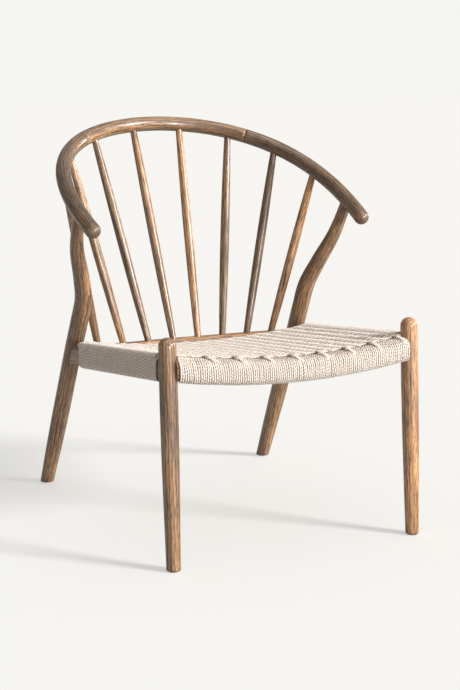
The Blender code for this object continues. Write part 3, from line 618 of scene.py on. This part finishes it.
def make_bow():
    """The crest and both arms, which meet at the splices."""
    crest = bow_length("crest_rod", -BOW_SPLICE, BOW_SPLICE, GRAIN_SEEDS["crest"], GRAIN_TONES["crest"])
    same_place(crest, "bow_crest", CREST_BOX_SLACK)
    place_piece(crest, WOOD, "stained_wood", "bow_crest")
    for label, side in SIDES:
        arm = bow_length("arm_rod_" + label, side * (BOW_SPLICE + GAP / 2), side * BOW_LENGTH,
                         GRAIN_SEEDS["arm"] + int(side), GRAIN_TONES["arm"])
        same_place(arm, "bow_arm_" + label, BOX_SLACK)
        place_piece(arm, WOOD, "stained_wood", "bow_arm_" + label)


def make_spindle(number):
    """A spindle from inside the spindle rail to the middle of the bow."""
    x = (number - SPINDLE_MIDDLE) * SPINDLE_PITCH
    upper = bow_at(math.copysign(SPINDLE_PLACES[int(abs(number - SPINDLE_MIDDLE))], x))
    shoulder = Vector((x, SPINDLE_RAIL_Y - SPINDLE_RAIL_BOW * x * x, SPINDLE_RAIL_TOP))
    lower = shoulder - (upper - shoulder).normalized() * SPINDLE_TENON
    shares = np.linspace(0.0, 1.0, 60)
    start, span, power = SPINDLE_SWELL
    swell = np.clip(np.sin(math.pi * np.clip((shares - start) / span, 0.0, 1.0)), 0.0, 1.0) ** power
    radii = SPINDLE_END_RADIUS + (SPINDLE_MID_RADIUS - SPINDLE_END_RADIUS) * swell
    path = [lower.lerp(upper, share) for share in shares]
    node = f"back_spindle_{number}"
    piece = wood_piece(f"spindle_{number}", path, round_sections(radii), GRAIN_SEEDS["spindle"] + number)
    same_place(piece, node, BOX_SLACK)
    place_piece(piece, WOOD, "stained_wood", node)


def make_front_leg(label, side):
    """A front leg from its glide to its domed top."""
    foot = Vector((side * FRONT_FOOT.x, FRONT_FOOT.y, 0.0))
    top = Vector((side * FRONT_LEG_TOP[0], FRONT_LEG_TOP[1], FRONT_LEG_HEIGHT))
    aim = (top - foot).normalized()
    dome = FRONT_LEG_RADII[-1][1]
    rings = np.linspace(FRONT_LEG_FIRST_RING, (top - foot).length - dome, 80)
    heights = np.concatenate([[LEG_BOTTOM], rings])
    path = [foot + aim * height for height in heights]
    radii = [table_value(FRONT_LEG_RADII, height) for height in heights]
    path, radii = domed(path, radii, dome)
    node = "front_leg_" + label
    piece = wood_piece("front_post_" + label, path, round_sections(radii),
                       GRAIN_SEEDS["front_leg"] + int(side), LEG_BOTTOM, GRAIN_TONES[node])
    same_place(piece, node, BOX_SLACK)
    place_piece(piece, WOOD, "stained_wood", node)


def make_rear_leg(label, side):
    """A rear leg from its glide to the middle of the arm."""
    heights = np.concatenate([[LEG_BOTTOM], np.linspace(REAR_LEG_FIRST_RING, REAR_LEG_TOP_Z - GAP, 110)])
    path = [rear_leg_at(height) for height in heights]
    path = [Vector((side * point.x, point.y, point.z)) for point in path]
    radii = [table_value(REAR_LEG_RADII, height) for height in heights]
    arm = bow_at(side * BOW_LEG_PLACE)
    if arm.z > path[-1].z:
        path.append(arm)
        radii.append(radii[-1])
    piece = wood_piece("rear_post_" + label, path, round_sections(radii),
                       GRAIN_SEEDS["rear_leg"] + int(side), LEG_BOTTOM)
    same_place(piece, "rear_leg_" + label, REAR_LEG_BOX_SLACK)
    place_piece(piece, WOOD, "stained_wood", "rear_leg_" + label)


def make_rail(name, centres, size, corner, seed, node, tone):
    """A bare rail. The carried frame starts from a fixed direction, so the section is turned to stand up.

    Seen in that frame the outline runs the other way round, so its points are taken in reverse.
    """
    path = np.array(centres)
    tangents, first, second = carried_frames(path)
    section = outline(size, corner)
    across = unit(np.cross(tangents, (0.0, 0.0, 1.0)))
    up = np.cross(across, tangents)
    world = section[None, :, :1] * across[:, None, :] + section[None, :, 1:] * up[:, None, :]
    turned = np.stack([(world * first[:, None, :]).sum(-1), (world * second[:, None, :]).sum(-1)], axis=-1)
    piece = wood_piece(name, path, turned[:, ::-1], seed, tone=tone)
    place_piece(piece, WOOD, "rail_wood", node)


def make_rails():
    """The rails that show bare wood: the one under the spindles, and both side rails."""
    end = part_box("spindle_rail")[1].x
    make_rail("spindle_bar", spindle_rail_centre(np.linspace(-end, end, 60)), SPINDLE_RAIL_SIZE,
              SPINDLE_RAIL_CORNER, GRAIN_SEEDS["spindle_rail"], "spindle_rail", GRAIN_TONES["spindle_rail"])
    front_inset, rear_inset = SIDE_RAIL_INSETS
    for label, side in SIDES:
        ys = np.linspace(FRONT_LEG_TOP[1] + front_inset, rear_leg_at(REAR_JOINT_Z).y - rear_inset, 50)
        make_rail("side_bar_" + label, side_rail_centre(side, ys), SIDE_RAIL_SIZE, RAIL_CORNER,
                  GRAIN_SEEDS["side_rail"] + int(side), "side_seat_rail_" + label, GRAIN_TONES["side_rail"])


# ---------------------------------------------------------------- cord

def spaced(points, step=CORD_STEP):
    """The same path with evenly spaced points."""
    points = np.asarray(points, float)
    length = np.concatenate([[0.0], np.cumsum(np.linalg.norm(np.diff(points, axis=0), axis=1))])
    places = np.linspace(0.0, length[-1], max(4, int(length[-1] / step) + 1))
    return np.stack([np.interp(places, length, points[:, axis]) for axis in range(3)], axis=-1), places


def cord_piece(name, runs, *nodes, woven=False):
    """Lengths of three-ply cord in one piece. Each run is (points, a direction never along it).

    A point attribute holds painted shade: 0 in the grooves between the plies, painted darkest, and 1 on the
    outside.
    In a weave it falls to a tenth of that with depth, as painted shade deep in the weave.
    """
    draw = np.random.default_rng(len(runs))
    sides = len(STRAND_SIDES)
    shares = np.array(STRAND_SIDES)
    tubes, strands = [], []
    for points, aside in runs:
        path, places = spaced(points)
        tangents = unit(np.gradient(path, axis=0))
        aside = np.array(aside, float)
        first = unit(aside[None, :] - (tangents @ aside)[:, None] * tangents)
        second = np.cross(tangents, first)
        knots = np.arange(0.0, places[-1] + 2 * TWIST_KNOT, TWIST_KNOT)
        drift = np.interp(places, knots, np.cumsum(draw.normal(0.0, TWIST_DRIFT, len(knots))))
        angles = (draw.uniform(0.0, 2 * math.pi) + 2 * math.pi * places / TWIST + drift)[:, None]
        angles = angles + np.arange(sides)[None, :] * 2 * math.pi / sides
        rings = ring_points(path, first, second, angles, CORD_RADIUS * shares[None, :, None])
        tubes.append(rings)
        # painted shade round each cord: 0 in the grooves, painted darkest, and 1 on the outside
        outside = np.tile((shares - shares.min()) / (1.0 - shares.min()), (len(path), 1))
        # painted shade: cords that lie deeper below the weave's top are darkened, down to a tenth of their
        # light
        if woven:
            outside = outside * (1.0 - 0.9 * smooth(*PAINTED_SHADE_DEPTHS, depth_in_weave(rings)))
        strands.append(outside.ravel())
    piece = join_tubes(name, tubes)
    add_attribute(piece, "painted_light_share", "FLOAT", np.concatenate(strands))
    return place_piece(piece, PAPER, "paper_cord", *nodes)


def winding(centre_at, axis, start, end, size, corner, slant=0.0, fan=0.0):
    """A cord wound side by side round a rail, from start to end along an axis (0 for X, 1 for Y).

    A fan spreads the turns outward on the front face, by that share of their distance from the middle.
    """
    ring = outline(size, corner, GAP + CORD_RADIUS)
    ring = np.vstack([ring, ring[:1]])
    length = np.concatenate([[0.0], np.cumsum(np.linalg.norm(np.diff(ring, axis=0), axis=1))])
    turns = round((end - start - CORD) / CORD)
    around = np.arange(0.0, turns * length[-1], WINDING_STEP)
    places = start + CORD_RADIUS + (end - start - CORD) * around / (turns * length[-1])
    across = np.interp(around % length[-1], length, ring[:, 0])
    up = np.interp(around % length[-1], length, ring[:, 1])
    draw = np.random.default_rng(7)
    knots = np.arange(0.0, around[-1] + 2 * WOBBLE_KNOT, WOBBLE_KNOT)
    wobble = np.interp(around, knots, draw.normal(0.0, WOBBLE, len(knots)))
    wave = 0.5 + 0.5 * np.sin(2 * math.pi * places / (2 * WARP_PITCH))
    spread = 1.0 + fan * np.clip(-across / FAN_REACH, 0.0, 1.0)
    leaned = places * spread + wobble - slant * wave * up / size[1]
    path = centre_at(places)
    path[:, axis] = leaned
    path[:, 1 - axis] += across
    path[:, 2] += up
    return path


def seat_front_y(x):
    """The front edge of the weave, which bows forward like the front rail."""
    return SEAT_FRONT_Y - dip(np.clip(np.abs(x), 0.0, DIP_SPAN), FRONT_RAIL_BOW)


def seat_top(x, share):
    """Height of the weave's top, share 0 at the front edge and 1 at the back edge."""
    flat = np.minimum(np.abs(x), SEAT_FLAT_FROM)
    front, back = [edge - (edge - middle) * (1.0 - (flat / DIP_SPAN) ** 2)
                   for middle, edge in (SEAT_FRONT_TOP, SEAT_BACK_TOP)]
    return front + (back - front) * share


def smooth(low, high, value):
    """From 0 at the low value to 1 at the high one, level at both ends."""
    share = np.clip((value - low) / (high - low), 0.0, 1.0)
    return share * share * (3 - 2 * share)


def depth_in_weave(points):
    """How far points lie below the top of the weave, 0 where they have turned down over a rail."""
    front = seat_front_y(points[..., 0])
    share = np.clip((points[..., 1] - front) / (SEAT_BACK_Y - front), 0.0, 1.0)
    depth = seat_top(points[..., 0], share) - points[..., 2]
    turned_down = (np.abs(points[..., 0]) > SEAT_FLAT_FROM) | (points[..., 1] < front)
    return np.where(turned_down, 0.0, depth)


def crimp_room(x, share):
    """From 0 on the rails to 1 in the open field, how far the cords may weave up and down."""
    sides = 1.0 - smooth(*SIDE_FADE, np.abs(x))
    inside = smooth(0.0, END_FADE, share) * (1.0 - smooth(1.0 - END_FADE, 1.0, share))
    return sides * (EDGE_ROOM + (1.0 - EDGE_ROOM) * inside)


def weave_middle(x, share):
    """Height of the plane that the warps and wefts cross in."""
    return seat_top(x, share) - CORD_RADIUS - WEFT_CRIMP * crimp_room(x, share)


def weft_end(last, side, corner):
    """Turn a weft down over the round edge of a wrapped side rail, until it sinks between the turns."""
    turn = np.radians(np.linspace(84.0, 0.0, 12))
    reach = np.linspace(*(CORNER_REACH if corner else SIDE_REACH), len(turn))
    bend = np.stack([last[0] + side * reach * np.cos(turn), np.full(len(turn), last[1]),
                     last[2] + reach * np.sin(turn) - reach[0]], axis=-1)
    tail = bend[-1:] + np.array([[-side * TUCK_IN, 0.0, -TUCK_DOWN]])
    return np.vstack([bend, tail])


def weft_runs():
    """Pairs of cord from side to side, over and under the warp pairs in turn, tucked in at the rails."""
    runs = []
    draw = np.random.default_rng(3)
    for pair in range(WEFT_PAIRS):
        for cord_side in (-1, 1):
            share = (pair + 0.5 + WEFT_SPREAD * cord_side) / WEFT_PAIRS
            rail_y = SEAT_FRONT_Y + (SEAT_BACK_Y - SEAT_FRONT_Y) * share
            corner = rail_y < SIDE_WRAP_START + CORD
            if corner:
                half = SEAT_FRONT_HALF_WIDTH - CORNER_INSET
            else:
                half = side_rail_centre(1.0, rail_y)[0] + SIDE_RAIL_SIZE[0] / 2 - WEFT_END_INSET
            x = np.linspace(-half, half, WEFT_POINTS)
            place = (x - WARP_FIRST) / WARP_PITCH
            warp = np.clip(np.round(place), 0, WARP_PAIRS - 1)
            bump = np.exp(-((place - warp) * WARP_PITCH / WEFT_BUMP) ** 2)
            over = bump * (1 - 2 * ((warp + pair + 1) % 2))
            front = seat_front_y(x)
            y = front + (SEAT_BACK_Y - front) * share + draw.normal(0.0, WEFT_SCATTER)
            z = weave_middle(x, share) + WEFT_CRIMP * crimp_room(x, share) * over
            sway = WEFT_SWAY * np.sin(math.pi * place * 0.5 + pair)
            y = y + cord_side * WEFT_PARTING * np.abs(over) + sway
            middle = np.stack([x, y, z], axis=-1)
            ends = [weft_end(middle[at], side, corner) for side, at in ((-1, 0), (1, -1))]
            runs.append((np.vstack([ends[0][::-1], middle, ends[1]]), (0.0, 1.0, 0.0)))
    return runs


def front_lead_in(x, pair_side):
    """A warp's first stretch: up the front of the wrapped rail and over its top, leaning sideways."""
    rail = front_rail_centre(x)
    centre_y = rail[1] - FRONT_RAIL_SIZE[0] / 2 + FRONT_RAIL_CORNER
    centre_z = rail[2] + FRONT_RAIL_SIZE[1] / 2 - FRONT_RAIL_CORNER
    angles = np.radians(np.linspace(*LEAD_IN_ANGLES, 12))
    reach = FRONT_RAIL_CORNER + GAP + CORD * np.linspace(*LEAD_IN_REACH, len(angles))
    lean = LEAD_IN_LEAN * np.linspace(1.0, 0.0, len(angles)) ** LEAD_IN_CURVE + pair_side * CORD_RADIUS
    y = centre_y + reach * np.cos(angles)
    z = centre_z + reach * np.sin(angles)
    return np.stack([x + lean, y, z], axis=-1)


def warp_runs():
    """Pairs of cord from front to back. Every second pair comes over the front rail in sight."""
    runs = []
    for pair in range(WARP_PAIRS):
        for pair_side in (-1, 1):
            x = WARP_FIRST + pair * WARP_PITCH + pair_side * CORD_RADIUS
            share = np.linspace(0.0, 1.0, WARP_POINTS)
            front = float(seat_front_y(x))
            y = front + (SEAT_BACK_Y - front) * share
            swing = np.cos(math.pi * (share * WEFT_PAIRS - 0.5)) * (-1) ** pair
            room = np.maximum(crimp_room(x, share), LEAST_WARP_ROOM)
            z = weave_middle(x, share) + WARP_CRIMP * room * swing
            field = np.stack([np.full_like(y, x), y, z], axis=-1)
            turn = np.radians(np.linspace(10.0, 95.0, 8))
            tail = np.stack([np.full(len(turn), x), SEAT_BACK_Y + WARP_TURN * np.sin(turn),
                             z[-1] - WARP_TURN * (1 - np.cos(turn))], axis=-1)
            tail = np.vstack([tail, tail[-1:] + np.array([WARP_TUCK])])
            parts = [field, tail]
            if pair % 2 == 1:
                field[:, 2] += OVER_EDGE_RISE * np.exp(-(share / OVER_EDGE_SHARE) ** 2)
                parts.insert(0, front_lead_in(x - pair_side * CORD_RADIUS, pair_side))
            runs.append((np.vstack(parts), (1.0, 0.0, 0.0)))
    return runs


def make_cords():
    """The weave and the wraps of the four seat rails."""
    cord_piece("seat_weft_cords", weft_runs(), "seat_weave", woven=True)
    cord_piece("seat_warp_cords", warp_runs(), "seat_weave", woven=True)
    front = winding(front_rail_centre, 0, -FRONT_WRAP_BACK_END, FRONT_WRAP_BACK_END, FRONT_RAIL_SIZE,
                    FRONT_RAIL_CORNER, slant=FRONT_SLANT, fan=FRONT_WRAP_END / FRONT_WRAP_BACK_END - 1.0)
    cord_piece("front_rail_cord", [(front, (1.0, 0.0, 0.0))], "front_rail_cord_wrap")
    back = winding(back_rail_centre, 0, -BACK_WRAP_END, BACK_WRAP_END, BACK_RAIL_SIZE, RAIL_CORNER)
    cord_piece("back_rail_cord", [(back, (1.0, 0.0, 0.0))], "back_rail_cord_wrap")
    for label, side in SIDES:
        path = winding(lambda y, side=side: side_rail_centre(side, y), 1, SIDE_WRAP_START, SIDE_WRAP_END,
                       SIDE_RAIL_SIZE, RAIL_CORNER)
        cord_piece("side_rail_cord_" + label, [(path, (0.0, 1.0, 0.0))], "side_rail_cord_wrap_" + label)


def make_nails():
    """Bent nails along the inner faces of the rails, which hold the ends of the cords."""
    bent_down = np.array((0.0, 0.0, -NAIL_BEND))
    bends = []
    for _, side in SIDES:
        for pair in NAILED_WEFTS:
            y = SEAT_FRONT_Y + (SEAT_BACK_Y - SEAT_FRONT_Y) * (pair + 0.5) / WEFT_PAIRS
            rail = side_rail_centre(side, y)
            inner = rail - np.array((side * (SIDE_RAIL_SIZE[0] / 2 - NAIL_SUNK), 0.0, NAIL_DROP))
            out = inner - np.array((side * NAIL_REACH, 0.0, 0.0))
            bends.append(((inner, out, out + bent_down), (0.0, 1.0, 0.0)))
    for pair in range(WARP_PAIRS):
        x = WARP_FIRST + pair * WARP_PITCH
        for rail, size, facing in ((front_rail_centre(x), FRONT_RAIL_SIZE, 1.0),
                                   (back_rail_centre(x), BACK_RAIL_SIZE, -1.0)):
            inner = rail + np.array((0.0, facing * (size[0] / 2 - NAIL_SUNK), -NAIL_DROP))
            out = inner + np.array((0.0, facing * NAIL_REACH, 0.0))
            bends.append(((inner, out, out + bent_down), (1.0, 0.0, 0.0)))
    angles = (np.arange(NAIL_SIDES) * 2 * math.pi / NAIL_SIDES)[None, :]
    tubes = []
    for bend, aside in bends:
        path, _ = spaced(bend, NAIL_STEP)
        tangents = unit(np.gradient(path, axis=0))
        first = np.tile(np.array(aside), (len(path), 1))
        tubes.append(ring_points(path, first, np.cross(tangents, first), angles, NAIL_RADIUS))
    piece = join_tubes("cord_nails", tubes)
    piece.data.materials.append(nail_steel())
    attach(piece, BODY)


def dress_cad_nodes():
    """Finishes for the CAD nodes that stay: the rails under the cord, and the glides."""
    hidden_wood, nylon = rail_wood(), moulded_nylon()
    for name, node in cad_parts.items():
        if name in ("front_seat_rail", "back_seat_rail"):
            finish, slot = hidden_wood, "rail_wood"
        elif name.startswith("floor_glide"):
            finish, slot = nylon, "glide_nylon"
        else:
            continue
        node.data.materials.clear()
        node.data.materials.append(finish)


# ---------------------------------------------------------------- stage, light and camera

def make_stage():
    """A pale floor, brighter to the camera than to the chair."""
    bpy.ops.mesh.primitive_plane_add(size=FLOOR_SIZE, location=(0.0, 0.0, 0.0))
    floor = bpy.context.object
    floor.name = "studio_floor"
    made, tree, shader = new_material("studio_floor_white")
    shader.inputs["Base Color"].default_value = (0.55, 0.55, 0.54, 1.0)
    shader.inputs["Roughness"].default_value = 1.0
    shader.inputs["Specular IOR Level"].default_value = 0.0
    shader.inputs["Emission Color"].default_value = (1.0, 0.992, 0.955, 1.0)
    seen = add_node(tree, "ShaderNodeLightPath").outputs["Is Camera Ray"]
    glow = add_node(tree, "ShaderNodeMath", {0: seen, 1: FLOOR_SEEN_GLOW, 2: FLOOR_GLOW},
                    operation="MULTIPLY_ADD").outputs[0]
    tree.links.new(glow, shader.inputs["Emission Strength"])
    floor.data.materials.append(made)
    return floor


def make_light(floor):
    """A studio world that is lighter on one side, and four suns. Only the key sun lights the floor."""
    world = bpy.data.worlds.new("studio")
    bpy.context.scene.world = world
    world.use_nodes = True
    tree = world.node_tree
    background = tree.nodes["Background"]
    rays = add_node(tree, "ShaderNodeLightPath").outputs["Is Camera Ray"]
    ray = add_node(tree, "ShaderNodeTexCoord").outputs["Generated"]
    facing = add_node(tree, "ShaderNodeVectorMath", {0: ray, 1: WORLD_LIGHT_SIDE},
                      operation="DOT_PRODUCT").outputs["Value"]
    share = add_node(tree, "ShaderNodeMath", {0: facing, 1: 0.5, 2: 0.5}, operation="MULTIPLY_ADD").outputs[0]
    around = mix(tree, "MIX", share, WORLD_DARK, WORLD_LIGHT)
    colour = mix(tree, "MIX", rays, around, WORLD_SEEN)
    tree.links.new(colour, background.inputs["Color"])
    off_floor = bpy.data.collections.new("lit_by_key_only")
    off_floor.objects.link(floor)
    off_floor.collection_objects[0].light_linking.link_state = "EXCLUDE"
    for name, towards, energy, spread in LIGHTS:
        sun = bpy.data.lights.new(name, "SUN")
        sun.energy = energy
        sun.angle = math.radians(spread)
        sun.color = SUN_COLOUR
        lamp = bpy.data.objects.new(name, sun)
        bpy.context.scene.collection.objects.link(lamp)
        lamp.rotation_euler = Vector(towards).to_track_quat("Z", "Y").to_euler()
        if name != KEY_LIGHT:
            lamp.light_linking.receiver_collection = off_floor


def make_camera():
    """The photograph's view."""
    lens = bpy.data.cameras.new("camera")
    lens.lens = CAMERA_LENS
    lens.sensor_width = CAMERA_SENSOR
    camera = bpy.data.objects.new("camera", lens)
    bpy.context.scene.collection.objects.link(camera)
    camera.location = CAMERA_PLACE
    camera.rotation_euler = [math.radians(angle) for angle in CAMERA_TURN]
    bpy.context.scene.camera = camera
    bpy.context.scene.view_settings.view_transform = "Standard"


make_camera()
make_bow()
for spindle_number in range(1, SPINDLE_COUNT + 1):
    make_spindle(spindle_number)
for side_label, side_sign in SIDES:
    make_front_leg(side_label, side_sign)
    make_rear_leg(side_label, side_sign)
make_rails()
make_cords()
make_nails()
dress_cad_nodes()
make_light(make_stage())
